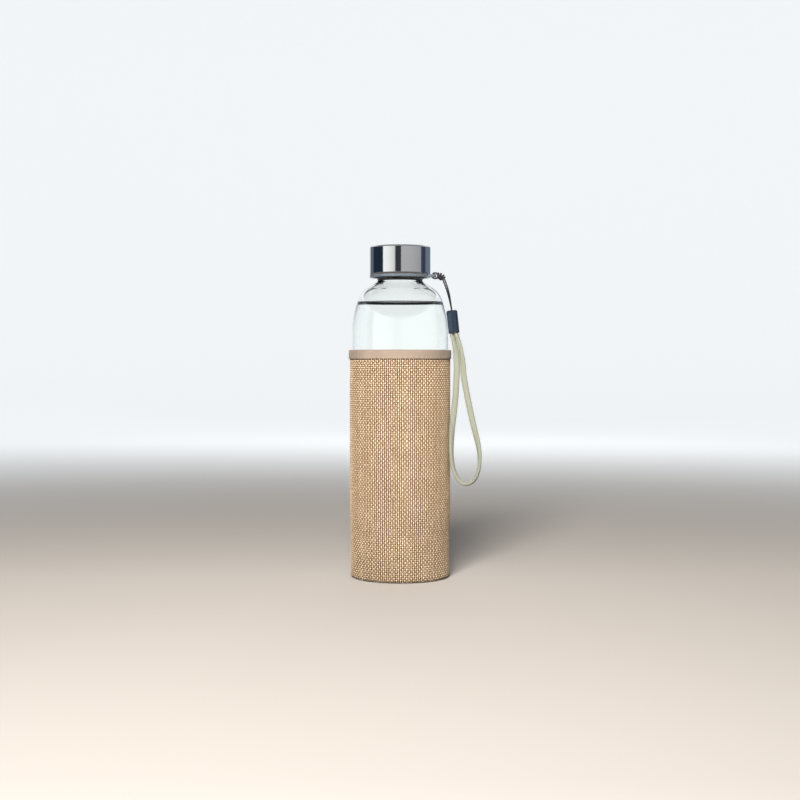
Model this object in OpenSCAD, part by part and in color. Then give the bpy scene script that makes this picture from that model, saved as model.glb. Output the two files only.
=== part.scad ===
// Glass water bottle with a screw lid, a woven sleeve and a wrist strap.
// Millimetres, +Z up. The origin is the middle of the sleeve's underside,
// and +X points at the lug that carries the strap.

/* [Bottle] */
// Outside diameter of the glass body
bottle_d = 64; // [60:0.5:64]
// Height of the glass, from its standing ring to its rim
glass_h = 215.7; // [205:0.1:225]
// Thickness of the glass wall
glass_wall = 1.8; // [1.5:0.1:2.2]
// Thickness of the glass base
glass_base = 4; // [3:0.5:5]
// Height of the push-up in the middle of the base
punt_h = 3; // [1:0.5:4]
// Radius of the bottle's bottom edge
heel_r = 5; // [3:0.5:6]
// Diameter of the mouth's bore
mouth_d = 25.2; // [20:0.2:26]

/* [Lid] */
// Outside diameter of the lid
lid_d = 40.5; // [40:0.1:42]
// Height of the steel shell
shell_h = 18.9; // [18:0.1:20]
// Thickness of the steel
shell_t = 0.5; // [0.3:0.1:0.6]
// Rounding of the shell's top edge
shell_edge_r = 1.2; // [0.8:0.1:2]
// Thickness of the insert's flange, below the shell
flange_t = 1.85; // [1.5:0.05:2]
// Thickness of the sealing ring
gasket_t = 1.5; // [1:0.1:1.5]

/* [Thread] */
// Rise of the thread in one turn
thread_pitch = 4.2; // [4:0.1:5]
// Turns of ridge on the glass and in the lid
thread_turns = 1.5; // [1:0.25:1.75]
// Height of the ridge on the glass
thread_depth = 1.2; // [0.8:0.1:1.2]

/* [Sleeve] */
// Height of the sleeve
sleeve_h = 151.8; // [120:0.1:155]
// Thickness of the woven cloth in the wall
cloth_t = 1.45; // [1.2:0.05:1.45]
// Thickness of the bottom panel
panel_t = 1.2; // [1:0.1:1.2]
// Height of the tape round the top edge
binding_h = 6; // [4:0.5:8]

/* [Strap] */
// Thickness of the braided loop
strap_d = 2.8; // [2:0.1:2.8]
// Thickness of the doubled thin cord
cord_d = 2; // [1.5:0.1:2.2]
// Outside diameter of the ferrule
ferrule_d = 7.3; // [7.2:0.1:8]
// Length of the ferrule
ferrule_l = 15; // [12:0.5:16]

/* [Hidden] */
$fn = 96;

// Bottle: the glass stands just clear of the bottom panel
body_r = bottle_d / 2;
mouth_r = mouth_d / 2;
glass_z = panel_t + 0.3;
rim_z = glass_z + glass_h;
standing_r = body_r - heel_r;
punt_r = standing_r - 2;
floor_fillet = heel_r + 1;
floor_r = body_r - glass_wall - floor_fillet;
// The shoulder is a long arc, a tight arc and a cone, then a groove below the finish
long_arc_r = 80;
long_arc_angle = 18;
tight_arc_r = 15;
tight_arc_angle = 57;
groove_r = 1.4;
finish_r = 16.4;
rim_round = 1;
finish_h = 19.2;
neck_fillet = 2.5;

// Lid: flange, insert and shell, all centred on the bottle's axis
lid_r = lid_d / 2;
fit_gap = 0.05;
seal_gap = 0.1;
liner_wall = 1.6;
liner_roof = 1.2;
liner_r = lid_r - shell_t - fit_gap;
cavity_r = liner_r - liner_wall;
gasket_z = rim_z + seal_gap;
roof_z = gasket_z + gasket_t + seal_gap;
liner_top = roof_z + liner_roof;
shell_top = liner_top + fit_gap + shell_t;
flange_top = shell_top - shell_h;
flange_z = flange_top - fit_gap - flange_t;
gasket_out_r = cavity_r - 0.4;
gasket_in_r = mouth_r - 1.1;
lug_x = 22.7;
lug_r = 2.6;
lug_hole_r = 1.5;
lug_bar_x = (lug_x + lug_hole_r + lug_x + lug_r) / 2;
lug_mid_z = flange_z + flange_t / 2;

// Thread: a ridge on the glass, and one below it in the lid
thread_top_z = rim_z - 4;
thread_offset = 1.6;
thread_steps = 24;
ridge_base = 1.9;
ridge_crest = 0.9;
ridge_root = 0.6;
lid_ridge_depth = cavity_r - finish_r - 0.55;

// Sleeve: cloth wall, a turned-under edge, and tape over the top edge
cloth_in_r = body_r + 0.3;
cloth_r = cloth_in_r + cloth_t;
foot_r = cloth_r - 0.5;
foot_h = 30;
taper_top = 42;
hem_r = 2.5;
hem_in_r = heel_r + 0.3;
panel_r = standing_r - 0.6;
seam_w = 1.2;
tape_t = 0.5;
binding_r = cloth_r + tape_t;
slit_w = 0.8;

// Stitches: threads that lie on the tape or cross a seam
thread_w = 0.4;
thread_h = 0.2;
binding_stitch_count = 60;
binding_stitch_angle = 4.2;
base_stitch_count = 60;
side_stitch_step = 4;
side_stitch_z = 8;

// Strap: the ferrule leans outwards, and both cords lie in the plane y = 0
ferrule_top = [36.2, 0, 177.7];
ferrule_tilt = 6.5;
ferrule_wall = 0.55;
ferrule_cap = 2;
ferrule_hole_r = 1.4;
tube_sides = 8;
knot_d = 3.8;
loop_gap_r = 1.3;
// The thin cord: [x, z, thickness]
cord_route = [
    [26.6, 200.8, knot_d - 0.6], [27.4, 200.8, knot_d], [28.8, 200.5, knot_d],
    [30, 199.6, knot_d - 0.8], [30.6, 198.4, cord_d], [31.8, 195.3, cord_d],
    [33.2, 191.5, cord_d], [34.4, 187.2, cord_d], [35.4, 182.5, cord_d],
    [36.1, 178.5, cord_d], [36.4, 176.2, cord_d],
];
// The braided loop, down its inner side and up its outer side: [x, z, thickness]
loop_route = [for (p = [
    [35.4, 171.6], [36.4, 162.6], [38.1, 156.5], [39.2, 150], [39.8, 142],
    [39.6, 133], [39, 122], [37.9, 111], [36.8, 101], [36.2, 91], [36.2, 82.5],
    [37.2, 74.5], [39.8, 68], [43.8, 64], [48.4, 63.8], [52.4, 67], [54.9, 73],
    [55.6, 81], [54.7, 89], [52.7, 97], [49.5, 110], [46.9, 122], [44.8, 133],
    [44, 142], [43, 150], [41.6, 156.5], [39.4, 163], [38.4, 171.9],
]) [p[0], p[1], strap_d]];

// Points on an arc about [x, z], from one angle to another
function arc(x, z, r, from, to, steps) =
    [for (i = [0:steps]) let (a = from + (to - from) * i / steps)
        [x + r * cos(a), z + r * sin(a)]];

// A shallow dome from [0, z + punt_h] out to [r, z]
function dome(r, z) =
    let (arc_r = (r * r + punt_h * punt_h) / (2 * punt_h))
    arc(0, z + punt_h - arc_r, arc_r, 90, 90 - asin(r / arc_r), 6);

function backwards(points) = [for (i = [len(points) - 1:-1:0]) points[i]];

// The shoulder's outline, set back by the wall where inset is more than 0.
// Its height follows from the neck, so that the finish keeps its place.
shoulder_end = [
    body_r - long_arc_r + (long_arc_r - tight_arc_r) * cos(long_arc_angle),
    (long_arc_r - tight_arc_r) * sin(long_arc_angle),
];
cone_top_r = finish_r - groove_r * cos(tight_arc_angle);
cone_rise = (shoulder_end[0] + tight_arc_r * cos(tight_arc_angle) - cone_top_r)
    / tan(tight_arc_angle);
groove_z = rim_z - finish_h;
shoulder_z = groove_z - (groove_r + tight_arc_r) * sin(tight_arc_angle)
    - cone_rise - shoulder_end[1];
shoulder_steps = 8;
shoulder_step = (tight_arc_angle - long_arc_angle) / shoulder_steps;
function shoulder(inset) = concat(
    arc(body_r - long_arc_r, shoulder_z, long_arc_r - inset, 0, long_arc_angle,
        shoulder_steps),
    arc(shoulder_end[0], shoulder_z + shoulder_end[1], tight_arc_r - inset,
        long_arc_angle + shoulder_step, tight_arc_angle, shoulder_steps - 1)
);
// Where the inner cone reaches the bore, and the fillet that joins the two
inner_end = shoulder(glass_wall)[2 * shoulder_steps];
bore_z = inner_end[1] + (inner_end[0] - mouth_r) / tan(tight_arc_angle);
fillet_z = bore_z + neck_fillet * tan(tight_arc_angle / 2);

function glass_outline() = concat(
    dome(punt_r, glass_z),
    arc(standing_r, glass_z + heel_r, heel_r, 270, 360, 8),
    shoulder(0),
    arc(finish_r, groove_z, groove_r, 180 + tight_arc_angle, 90, 8),
    arc(finish_r - rim_round, rim_z - rim_round, rim_round, 0, 90, 4),
    arc(mouth_r + rim_round, rim_z - rim_round, rim_round, 90, 180, 4),
    arc(mouth_r + neck_fillet, fillet_z, neck_fillet, 180, 180 + tight_arc_angle, 6),
    backwards(shoulder(glass_wall)),
    arc(floor_r, glass_z + glass_base + floor_fillet, floor_fillet, 360, 280, 8),
    backwards(dome(floor_r, glass_z + glass_base))
);

// A screw ridge that tapers to nothing at both ends. It stands on radius r,
// outwards for depth above 0 and inwards below 0; top_z is its upper end.
module ridge(r, depth, top_z) {
    count = round(thread_turns * thread_steps);
    side = sign(depth);
    function fade(i) = min(1, min(i, count - i) / 4 + 0.05);
    function station(i) =
        let (a = 360 * i / thread_steps,
             z = top_z - thread_pitch * (thread_turns - i / thread_steps),
             crest = r + depth * fade(i), root = r - side * ridge_root)
        [for (p = [[root, -ridge_base / 2], [crest, -ridge_crest / 2],
                   [crest, ridge_crest / 2], [root, ridge_base / 2]])
            [p[0] * cos(a), p[0] * sin(a), z + p[1]]];
    points = [for (i = [0:count]) each station(i)];
    flanks = [for (i = [0:count - 1], k = [0:3])
        let (m = (k + 1) % 4, a = 4 * i + k, b = 4 * i + m, c = b + 4, d = a + 4)
        each side > 0 ? [[a, b, c], [a, c, d]] : [[a, c, b], [a, d, c]]];
    first = side > 0 ? [3, 2, 1, 0] : [0, 1, 2, 3];
    last = [for (k = backwards(first)) 4 * count + k];
    polyhedron(points, concat([first, last], flanks), convexity = 6);
}

// A tube along a route of [x, z, thickness] in the plane y = 0
module tube(route) {
    last = len(route) - 1;
    function heading(i) =
        let (a = route[max(i - 1, 0)], b = route[min(i + 1, last)])
        atan2(b[1] - a[1], b[0] - a[0]);
    points = [for (i = [0:last], k = [0:tube_sides - 1])
        let (turn = heading(i), a = 360 * (k + 0.5) / tube_sides, r = route[i][2] / 2)
        [route[i][0] - r * cos(a) * sin(turn), r * sin(a),
         route[i][1] + r * cos(a) * cos(turn)]];
    walls = [for (i = [0:last - 1], k = [0:tube_sides - 1])
        let (a = i * tube_sides + k, b = i * tube_sides + (k + 1) % tube_sides)
        each [[a, b, b + tube_sides], [a, b + tube_sides, a + tube_sides]]];
    first = [for (k = [tube_sides - 1:-1:0]) k];
    end = [for (k = [0:tube_sides - 1]) last * tube_sides + k];
    polyhedron(points, concat([first, end], walls), convexity = 6);
}

module glass_bottle() {
    color("azure", 0.35) union() {
        rotate_extrude() polygon(glass_outline());
        ridge(finish_r, thread_depth, thread_top_z);
    }
}

module lid_gasket() {
    lip = 0.3;
    color("gainsboro") rotate_extrude() polygon([
        [gasket_in_r, gasket_z + lip], [gasket_in_r + lip, gasket_z],
        [gasket_out_r - lip, gasket_z], [gasket_out_r, gasket_z + lip],
        [gasket_out_r, gasket_z + gasket_t], [gasket_in_r, gasket_z + gasket_t],
    ]);
}

module lid_shell() {
    inner_edge_r = max(shell_edge_r - shell_t, 0.1);
    color("silver") rotate_extrude() polygon(concat(
        [[lid_r - shell_t, flange_top], [lid_r, flange_top]],
        arc(lid_r - shell_edge_r, shell_top - shell_edge_r, shell_edge_r, 0, 90, 6),
        [[0, shell_top], [0, shell_top - shell_t]],
        arc(lid_r - shell_t - inner_edge_r, shell_top - shell_t - inner_edge_r,
            inner_edge_r, 90, 0, 4)
    ));
}

module lid_liner() {
    roof_chamfer = 1;
    color("slategray") difference() {
        union() {
            difference() {
                union() {
                    rotate_extrude() polygon([
                        [0, flange_z], [lid_r, flange_z],
                        [lid_r, flange_z + flange_t], [liner_r, flange_z + flange_t],
                        [liner_r, liner_top - roof_chamfer],
                        [liner_r - roof_chamfer, liner_top], [0, liner_top],
                    ]);
                    translate([lug_x, 0, flange_z]) cylinder(h = flange_t, r = lug_r);
                    translate([lid_r - 1.5, -lug_r, flange_z])
                        cube([lug_x - lid_r + 1.5, 2 * lug_r, flange_t]);
                }
                translate([0, 0, flange_z - 1]) cylinder(h = roof_z - flange_z + 1, r = cavity_r);
            }
            ridge(cavity_r, -lid_ridge_depth, thread_top_z - thread_offset);
        }
        translate([lug_x, 0, flange_z - 1]) cylinder(h = flange_t + 2, r = lug_hole_r, $fn = 48);
    }
}

module strap_cord() {
    color("black") union() {
        tube(cord_route);
        // The loop that hangs on the lug's outer bar
        translate([lug_bar_x, cord_d / 2, lug_mid_z]) rotate([90, 0, 0]) difference() {
            cylinder(h = cord_d, r = loop_gap_r + cord_d / 2, $fn = 48);
            translate([0, 0, -1]) cylinder(h = cord_d + 2, r = loop_gap_r, $fn = 48);
        }
    }
}

module ferrule() {
    r = ferrule_d / 2;
    bore_r = r - ferrule_wall;
    edge = 0.3;
    color("darkslategray") translate(ferrule_top) rotate([0, -ferrule_tilt, 0])
        rotate_extrude($fn = 64) polygon([
            [ferrule_hole_r, 0], [r - edge, 0], [r, -edge],
            [r, edge - ferrule_l], [r - edge, -ferrule_l], [bore_r, -ferrule_l],
            [bore_r, -ferrule_cap], [ferrule_hole_r, -ferrule_cap],
        ]);
}

module wrist_strap() {
    color("beige") tube(loop_route);
}

module sleeve_body() {
    tape_z = sleeve_h - binding_h;
    edge_z = sleeve_h - tape_t - fit_gap;
    color("tan") difference() {
        rotate_extrude() polygon(concat(
            [[panel_r + seam_w, 0]],
            arc(foot_r - hem_r, hem_r, hem_r, 270, 360, 6),
            [[foot_r, foot_h], [cloth_r, taper_top], [cloth_r, tape_z - 1],
             [cloth_r - fit_gap, tape_z - 0.5], [cloth_r - fit_gap, edge_z],
             [cloth_in_r + tape_t + 2 * fit_gap, edge_z],
             [cloth_in_r + tape_t + 2 * fit_gap, tape_z - 0.5], [cloth_in_r, tape_z - 1]],
            arc(standing_r, glass_z + heel_r, hem_in_r, 360, 275, 6),
            [[panel_r + seam_w, panel_t]]
        ));
        // The line at the back where the cloth's two edges meet
        translate([-slit_w / 2, 0, hem_r]) cube([slit_w, cloth_r + 1, tape_z - hem_r - 2]);
    }
}

module sleeve_base() {
    color("tan") cylinder(h = panel_t, r = panel_r);
}

module sleeve_binding() {
    tape_z = sleeve_h - binding_h;
    in_r = cloth_in_r + fit_gap;
    color("rosybrown") rotate_extrude() polygon([
        [cloth_r, tape_z], [binding_r, tape_z], [binding_r, sleeve_h],
        [in_r, sleeve_h], [in_r, tape_z], [in_r + tape_t, tape_z],
        [in_r + tape_t, sleeve_h - tape_t], [cloth_r, sleeve_h - tape_t],
    ]);
}

module binding_stitches() {
    z = sleeve_h - binding_h + 1;
    color("wheat") for (i = [0:binding_stitch_count - 1])
        rotate(i * 360 / binding_stitch_count)
            rotate_extrude(angle = binding_stitch_angle)
                translate([binding_r + 0.02, z]) square([thread_h, thread_w]);
}

module base_stitches() {
    color("wheat") for (i = [0:base_stitch_count - 1])
        rotate(i * 360 / base_stitch_count)
            translate([panel_r + fit_gap, -thread_w / 2, panel_t / 2 - thread_w / 2])
                cube([seam_w - 2 * fit_gap, thread_w, thread_w]);
}

module side_stitches() {
    color("wheat")
        for (z = [side_stitch_z:side_stitch_step:sleeve_h - binding_h - side_stitch_step])
            translate([fit_gap - slit_w / 2, cloth_in_r + 0.3, z])
                cube([slit_w - 2 * fit_gap, thread_w, thread_w]);
}

glass_bottle();
lid_gasket();
lid_shell();
lid_liner();
strap_cord();
ferrule();
wrist_strap();
sleeve_body();
sleeve_base();
sleeve_binding();
binding_stitches();
base_stitches();
side_stitches();
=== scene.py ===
"""Looks of a glass water bottle with a steel lid, a woven sleeve and a braided wrist strap.

Lengths are in millimetres up to the helpers that make meshes, which write metres.
The origin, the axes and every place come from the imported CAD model.
"""

import math
from functools import partial

import bmesh
import bpy
import numpy as np
from mathutils import Matrix, Vector


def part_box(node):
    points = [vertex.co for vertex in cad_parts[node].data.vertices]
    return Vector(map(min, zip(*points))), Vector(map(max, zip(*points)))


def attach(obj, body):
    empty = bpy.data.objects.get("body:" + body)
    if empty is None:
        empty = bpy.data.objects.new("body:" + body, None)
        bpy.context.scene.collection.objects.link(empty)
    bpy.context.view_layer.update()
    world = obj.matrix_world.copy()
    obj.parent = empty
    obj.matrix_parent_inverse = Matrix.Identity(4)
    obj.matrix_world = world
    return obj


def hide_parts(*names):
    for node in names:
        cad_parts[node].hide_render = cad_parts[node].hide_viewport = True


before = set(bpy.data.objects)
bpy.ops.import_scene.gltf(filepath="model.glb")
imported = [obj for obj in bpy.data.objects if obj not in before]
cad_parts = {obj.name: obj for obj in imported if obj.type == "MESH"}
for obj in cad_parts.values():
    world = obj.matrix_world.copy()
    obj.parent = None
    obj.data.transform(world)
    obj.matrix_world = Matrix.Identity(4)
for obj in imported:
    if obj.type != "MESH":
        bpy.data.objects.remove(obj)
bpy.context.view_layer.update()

MM = 0.001
TURN = 2 * math.pi
rng = np.random.default_rng(7)


def box_mm(node):
    """A CAD node's lowest and highest corners, in millimetres."""
    low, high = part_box(node)
    return np.array(low) / MM, np.array(high) / MM


# ---- places from the frame

GLASS_LOW, GLASS_HIGH = box_mm("glass_bottle")
SHELL_LOW, SHELL_HIGH = box_mm("lid_shell")
LINER_LOW, LINER_HIGH = box_mm("lid_liner")
GASKET_LOW, GASKET_HIGH = box_mm("lid_gasket")
SLEEVE_HIGH = box_mm("sleeve_body")[1]
BASE_HIGH = box_mm("sleeve_base")[1]
TAPE_LOW, TAPE_HIGH = box_mm("sleeve_binding")

BODY_R = GLASS_HIGH[0]
GLASS_Z, RIM_Z = GLASS_LOW[2], GLASS_HIGH[2]
LID_R = SHELL_HIGH[0]
SHELL_Z, LID_TOP = SHELL_LOW[2], SHELL_HIGH[2]
FLANGE_Z, LINER_TOP = LINER_LOW[2], LINER_HIGH[2]
CLOTH_R = SLEEVE_HIGH[0]
TAPE_R, TAPE_Z, SLEEVE_TOP = TAPE_HIGH[0], TAPE_LOW[2], TAPE_HIGH[2]
PANEL_R, PANEL_T = BASE_HIGH[0], BASE_HIGH[2]

# ---- camera

VIEW_AZIMUTH = math.radians(20)
VIEW_DISTANCE, EYE_Z, AIM_Z = 920, 145, 118.3
LENS_MM = 61.9


def placed(name, data):
    """A new object in the scene."""
    made = bpy.data.objects.new(name, data)
    bpy.context.scene.collection.objects.link(made)
    return made


def round_from_view(azimuth, distance, z):
    """A place at an azimuth counted from the camera's, towards the right of its picture."""
    a = VIEW_AZIMUTH + math.radians(azimuth)
    return (distance * math.sin(a), -distance * math.cos(a), z)


def aim(piece, place, aim_z):
    """Puts a camera or light at a place, and turns it to a point on the Z axis."""
    piece.location = Vector(place) * MM
    away = Vector((0, 0, aim_z)) * MM - piece.location
    piece.rotation_euler = away.to_track_quat("-Z", "Y").to_euler()


def make_camera():
    data = bpy.data.cameras.new("camera")
    data.lens = LENS_MM
    data.sensor_width = 36
    data.clip_start, data.clip_end = 0.01, 50
    cam = placed("camera", data)
    aim(cam, round_from_view(0, VIEW_DISTANCE, EYE_Z), AIM_Z)
    bpy.context.scene.camera = cam


make_camera()

# ---- shapes


def arc(x, z, r, start, end, steps):
    """Points on an arc about (x, z), angles in degrees."""
    return [
        (x + r * math.cos(math.radians(a)), z + r * math.sin(math.radians(a)))
        for a in np.linspace(start, end, steps + 1)
    ]


def line(a, b, steps):
    """Points from a to b, without a itself."""
    return [(a[0] + (b[0] - a[0]) * t, a[1] + (b[1] - a[1]) * t)
            for t in np.linspace(0, 1, steps + 1)[1:]]


def mesh_piece(name, points, faces, material, uv=None, **values):
    """A smooth-shaded object from points in millimetres. uv and each of values are per point."""
    mesh = bpy.data.meshes.new(name)
    mesh.from_pydata((np.asarray(points) * MM).tolist(), [], [list(map(int, f)) for f in faces])
    mesh.polygons.foreach_set("use_smooth", np.ones(len(mesh.polygons), bool))
    if uv is not None:
        loops = np.zeros(len(mesh.loops), np.int32)
        mesh.loops.foreach_get("vertex_index", loops)
        layer = mesh.uv_layers.new(name="along")
        layer.data.foreach_set("uv", np.asarray(uv, np.float32)[loops].ravel())
    for key, value in values.items():
        layer = mesh.attributes.new(key, "FLOAT", "POINT")
        layer.data.foreach_set("value", np.asarray(value, np.float32))
    mesh.materials.append(material)
    mesh.update()
    return placed(name, mesh)


def polar(r, angle, z):
    """Points at a radius, an angle and a height."""
    return np.stack(np.broadcast_arrays(r * np.cos(angle), r * np.sin(angle), z), axis=-1)


def grid_faces(rows, columns, wrap_rows=False, wrap_columns=False, start=0):
    """Quads over a grid of points stored row by row."""
    i = np.arange(rows if wrap_rows else rows - 1)[:, None]
    j = np.arange(columns if wrap_columns else columns - 1)[None, :]
    i2, j2 = (i + 1) % rows, (j + 1) % columns
    quads = [i * columns + j, i * columns + j2, i2 * columns + j2, i2 * columns + j]
    return np.stack([q.ravel() for q in np.broadcast_arrays(*quads)], axis=1) + start


def weld(piece):
    """Joins the points that meet at a pole."""
    mesh = piece.data
    bm = bmesh.new()
    bm.from_mesh(mesh)
    bmesh.ops.remove_doubles(bm, verts=bm.verts, dist=1e-7)
    bmesh.ops.recalc_face_normals(bm, faces=bm.faces)
    bm.to_mesh(mesh)
    bm.free()


def circle(count):
    """Angles evenly round a whole turn."""
    return np.linspace(0, TURN, count, endpoint=False)


def lathe(name, outline, material, segments=128, push=None, ring=False):
    """Turns an outline of (radius, height) round the Z axis. It starts and ends on the axis,
    or with ring it is a closed loop. push(radius, height, angle) moves points in or out."""
    outline = np.array(outline)
    angle = circle(segments)
    r = np.repeat(outline[:, :1], segments, axis=1)
    z = np.repeat(outline[:, 1:], segments, axis=1)
    if push:
        r = r + push(r, z, angle[None, :])
    points = polar(r, angle, z).reshape(-1, 3)
    faces = grid_faces(len(outline), segments, ring, True)
    piece = mesh_piece(name, points, faces, material)
    weld(piece)
    return piece


def rounded(points, radius, steps=4):
    """A closed outline with its corners rounded."""
    out, count = [], len(points)
    for k, p in enumerate(points):
        before = np.array(points[k - 1], float)
        after = np.array(points[(k + 1) % count], float)
        p = np.array(p, float)
        a = (before - p) / np.linalg.norm(before - p)
        b = (after - p) / np.linalg.norm(after - p)
        reach = min(radius, 0.45 * np.linalg.norm(before - p), 0.45 * np.linalg.norm(after - p))
        for t in np.linspace(0, 1, steps + 1):
            q = (1 - t) ** 2 * (p + a * reach) + 2 * t * (1 - t) * p + t * t * (p + b * reach)
            out.append(tuple(q))
    return out


def tube_faces(rings, sides, start=0):
    """Quads round a tube, and a face over each of its ends."""
    first = np.arange(sides) + start
    return [*grid_faces(rings, sides, False, True, start), first[::-1], first + (rings - 1) * sides]


def lengths_along(path):
    """How far along the path each of its points is."""
    return np.concatenate([[0], np.cumsum(np.linalg.norm(np.diff(path, axis=0), axis=1))])


def smooth_path(points, step):
    """A Catmull-Rom line through the points, with a point about every step."""
    points = np.asarray(points, float)
    ends = np.vstack([2 * points[0] - points[1], points, 2 * points[-1] - points[-2]])
    fine = []
    for k in range(len(points) - 1):
        p0, p1, p2, p3 = ends[k:k + 4]
        for t in np.linspace(0, 1, 24, endpoint=False):
            fine.append(0.5 * (2 * p1 + (p2 - p0) * t + (2 * p0 - 5 * p1 + 4 * p2 - p3) * t * t
                               + (3 * p1 - p0 - 3 * p2 + p3) * t ** 3))
    fine.append(points[-1])
    fine = np.array(fine)
    along = lengths_along(fine[:, :3])
    wanted = np.linspace(0, along[-1], int(along[-1] / step) + 1)
    return np.stack([np.interp(wanted, along, fine[:, k]) for k in range(points.shape[1])], axis=1)


def directions(path):
    """The unit tangent at each point."""
    tangent = np.gradient(path, axis=0)
    return tangent / np.linalg.norm(tangent, axis=1)[:, None]


def plane_frames(path):
    """At each point of a path in the plane y = 0: the Y direction, and the normal in the plane."""
    y = np.tile([0.0, 1.0, 0.0], (len(path), 1))
    return y, np.cross(directions(path), y)


def carried_frames(path):
    """Two normals at each point, with as little twist as the path allows."""
    tangent = directions(path)
    normal = np.zeros_like(path)
    first = np.cross(tangent[0], [0, 1, 0])
    normal[0] = first / np.linalg.norm(first)
    for k in range(1, len(path)):
        n = normal[k - 1] - tangent[k] * np.dot(normal[k - 1], tangent[k])
        normal[k] = n / np.linalg.norm(n)
    return normal, np.cross(tangent, normal)


def sweep(name, path, side, up, section, material):
    """A closed tube. section(along) gives each ring's offsets along side and up, in millimetres,
    and how much each point stands out."""
    along = lengths_along(path)
    across, rise, crest = section(along)
    sides = across.shape[1]
    points = (path[:, None, :] + across[:, :, None] * side[:, None, :]
              + rise[:, :, None] * up[:, None, :]).reshape(-1, 3)
    uv = np.stack([np.tile(np.linspace(0, 1, sides, endpoint=False), len(path)),
                   np.repeat(along, sides)], axis=1)
    return mesh_piece(name, points, tube_faces(len(path), sides), material, uv=uv,
                      crest=crest.ravel())


# ---- material helpers


def new_material(name):
    """A material, its node tree and its Principled shader."""
    material = bpy.data.materials.new(name)
    material.use_nodes = True
    tree = material.node_tree
    return material, tree, tree.nodes["Principled BSDF"]


def set_inputs(tree, node, values):
    """Sets a node's inputs, or links the ones whose value is another node's output."""
    for key, value in values.items():
        if isinstance(value, bpy.types.NodeSocket):
            tree.links.new(value, node.inputs[key])
        else:
            node.inputs[key].default_value = value


def add(tree, kind, inputs=None, **properties):
    """A node with its properties set, and its inputs set or linked."""
    made = tree.nodes.new("ShaderNode" + kind)
    for key, value in properties.items():
        setattr(made, key, value)
    set_inputs(tree, made, inputs or {})
    return made


def math_node(tree, operation, *values):
    return add(tree, "Math", dict(enumerate(values)), operation=operation).outputs[0]


def ramp(tree, value, stops):
    """A colour ramp over (position, colour) stops."""
    made = add(tree, "ValToRGB", {"Fac": value})
    elements = made.color_ramp.elements
    while len(elements) < len(stops):
        elements.new(0.5)
    for element, (place, colour) in zip(elements, stops):
        element.position, element.color = place, (*colour, 1)
    return made.outputs["Color"]


def mix(tree, factor, a, b):
    """The colour between a and b, each of them three numbers or a node's output."""
    a, b = ((*c, 1) if isinstance(c, tuple) else c for c in (a, b))
    return add(tree, "Mix", {0: factor, 6: a, 7: b}, data_type="RGBA").outputs[2]


def attribute(tree, name):
    """The value that each point of the piece has under this name."""
    return add(tree, "Attribute", attribute_name=name).outputs["Fac"]


def object_coords(tree):
    return add(tree, "TexCoord").outputs["Object"]


def scaled(tree, vector, scale):
    return add(tree, "Mapping", {"Vector": vector, "Scale": scale}).outputs[0]


def noise(tree, vector, scale, detail=3.0, roughness=0.5):
    return add(tree, "TexNoise", {"Vector": vector, "Scale": scale, "Detail": detail,
                                  "Roughness": roughness}).outputs["Fac"]


def bump(tree, height, strength, distance):
    return add(tree, "Bump", {"Height": height, "Strength": strength,
                              "Distance": distance}).outputs[0]


def between(tree, value, low, high, start=0.0, stop=1.0, curve="LINEAR"):
    """A number that runs from low to high as value runs from start to stop."""
    inputs = {"Value": value, "From Min": start, "From Max": stop, "To Min": low, "To Max": high}
    return add(tree, "MapRange", inputs, interpolation_type=curve).outputs[0]


def weighted(tree, *parts):
    """The sum of values times weights."""
    total = 0.0
    for value, weight in parts:
        total = math_node(tree, "MULTIPLY_ADD", value, weight, total)
    return total


# ---- materials


def painted(look, name, *values):
    """A material. look(tree, ...) gives its shader's inputs."""
    material, tree, shader = new_material(name)
    set_inputs(tree, shader, look(tree, *values))
    return material


def glass_look(tree):
    where = object_coords(tree)
    wave = noise(tree, scaled(tree, where, (1, 1, 0.35)), 55, 2)
    return {
        "Base Color": (0.975, 0.992, 0.985, 1), "Transmission Weight": 1.0, "IOR": 1.5,
        "Roughness": between(tree, noise(tree, where, 90, 4), 0.0, 0.02),
        "Normal": bump(tree, wave, 0.12, 0.0004),
    }


def water_look(tree):
    ripple = noise(tree, object_coords(tree), 60, 2)
    return {
        "Base Color": (0.985, 0.997, 1.0, 1), "Transmission Weight": 1.0, "IOR": 1.333,
        "Roughness": 0.0, "Normal": bump(tree, ripple, 0.03, 0.0003),
    }


def steel_look(tree):
    """Polished steel with fine lines brushed round the lid."""
    where = object_coords(tree)
    lines = noise(tree, scaled(tree, where, (60, 60, 9000)), 1, 3)
    cloudy = noise(tree, where, 70, 3)
    tangent = add(tree, "Tangent", direction_type="RADIAL", axis="Z").outputs[0]
    return {
        "Base Color": mix(tree, cloudy, (0.60, 0.605, 0.61), (0.68, 0.68, 0.675)),
        "Metallic": 1.0, "Anisotropic": 0.2, "Tangent": tangent,
        "Roughness": between(tree, cloudy, 0.07, 0.11),
        "Normal": bump(tree, lines, 0.035, 0.00004),
    }


def liner_look(tree):
    """Smoky moulded plastic."""
    where = object_coords(tree)
    return {
        "Base Color": mix(tree, noise(tree, where, 120, 3), (0.075, 0.092, 0.115), (0.12, 0.14, 0.165)),
        "Roughness": between(tree, noise(tree, where, 600, 4), 0.2, 0.34),
        "Normal": bump(tree, noise(tree, where, 1800, 3), 0.06, 0.00005),
        "Coat Weight": 0.3, "Coat Roughness": 0.12,
    }


def silicone_look(tree):
    where = object_coords(tree)
    return {
        "Base Color": mix(tree, noise(tree, where, 300, 3), (0.70, 0.72, 0.72), (0.80, 0.81, 0.80)),
        "Roughness": between(tree, noise(tree, where, 900, 3), 0.45, 0.6),
        "Subsurface Weight": 0.25, "Subsurface Scale": 0.001,
        "Normal": bump(tree, noise(tree, where, 2500, 3), 0.1, 0.00005),
    }


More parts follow.
